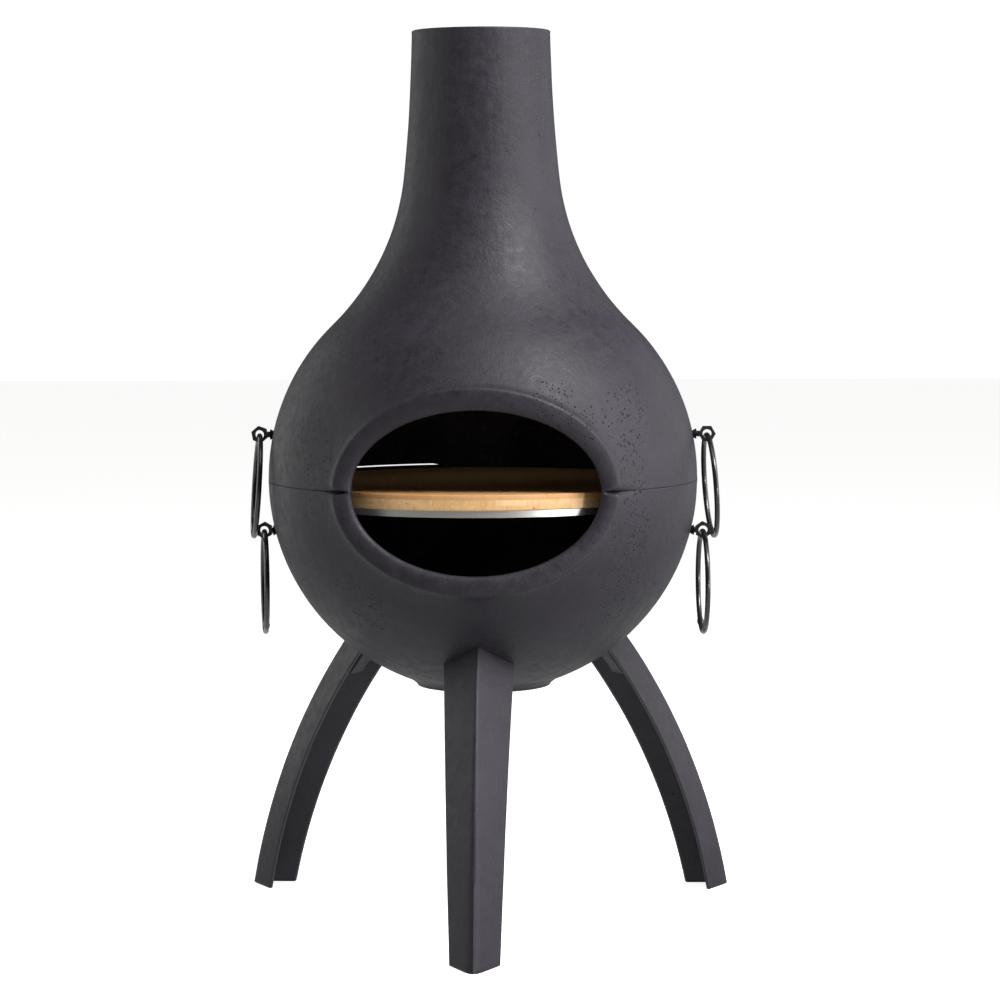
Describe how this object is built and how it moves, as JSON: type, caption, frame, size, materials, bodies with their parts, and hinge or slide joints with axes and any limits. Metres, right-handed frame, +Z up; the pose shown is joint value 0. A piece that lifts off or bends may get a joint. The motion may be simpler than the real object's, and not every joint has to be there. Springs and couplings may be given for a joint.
{
  "type": "chiminea",
  "caption": "Cast iron chiminea: ball-shaped fire bowl on curved legs, lift-off hood with a chimney and an oval mouth, swinging lifting rings, a wooden board on a steel grill.",
  "frame": {"origin": "on the ground, at the middle of the footprint", "axes": "+Z up along the chimney, -Y out of the mouth towards the user, +X to the right seen from the front"},
  "size_m": [0.5664, 0.57, 1],
  "materials": {
    "cast_iron": "matt charcoal heat-resistant paint on rough casting",
    "black_steel": "gloss black",
    "zinc_steel": "zinc plated",
    "grill_steel": "bright steel",
    "board_wood": "oiled glued bamboo"
  },
  "bodies": {
    "lower": {"lower_bowl": "cast_iron", "front_leg": "cast_iron", "rear_left_leg": "cast_iron", "rear_right_leg": "cast_iron", "leg_bolts": "zinc_steel", "leg_washers": "zinc_steel", "left_lower_eye_bolt": "black_steel", "right_lower_eye_bolt": "black_steel", "lower_eye_outer_nuts": "black_steel", "lower_eye_washers": "zinc_steel", "lower_eye_inner_nuts": "zinc_steel"},
    "grill": {"grill_rim": "grill_steel", "grill_bars": "grill_steel", "grill_cross_bars": "grill_steel"},
    "board": {"serving_board": "board_wood"},
    "upper": {"hood": "cast_iron", "left_upper_eye_bolt": "black_steel", "right_upper_eye_bolt": "black_steel", "upper_eye_outer_nuts": "black_steel", "upper_eye_washers": "zinc_steel", "upper_eye_inner_nuts": "zinc_steel"},
    "ring_left_upper": {"left_upper_ring": "black_steel"},
    "ring_right_upper": {"right_upper_ring": "black_steel"},
    "ring_left_lower": {"left_lower_ring": "black_steel"},
    "ring_right_lower": {"right_lower_ring": "black_steel"}
  },
  "joints": [
    {"name": "hood_lift", "type": "slide", "parent": "lower", "child": "upper", "axis": [0, 0, 1], "range_m": [0, 0.3]},
    {"name": "grill_lift", "type": "slide", "parent": "lower", "child": "grill", "axis": [0, 0, 1], "range_m": [0, 0.03]},
    {"name": "board_lift", "type": "slide", "parent": "grill", "child": "board", "axis": [0, 0, 1], "range_m": [0, 0.05]},
    {"name": "left_upper_ring_swing", "type": "hinge", "parent": "upper", "child": "ring_left_upper", "pos_m": [-0.2537, 0.042, 0.5451], "axis": [-0.1495, 0.9888, 0], "range_deg": [0, 199]},
    {"name": "right_upper_ring_swing", "type": "hinge", "parent": "upper", "child": "ring_right_upper", "pos_m": [0.2537, 0.042, 0.5451], "axis": [0.0872, -0.9962, 0], "range_deg": [0, 199]},
    {"name": "left_lower_ring_swing", "type": "hinge", "parent": "lower", "child": "ring_left_lower", "pos_m": [-0.2493, 0.042, 0.4358], "axis": [-0.1461, 0.9893, 0], "range_deg": [-28, 65]},
    {"name": "right_lower_ring_swing", "type": "hinge", "parent": "lower", "child": "ring_right_lower", "pos_m": [0.2493, 0.042, 0.4358], "axis": [0.0698, -0.9976, 0], "range_deg": [-28, 65]}
  ]
}
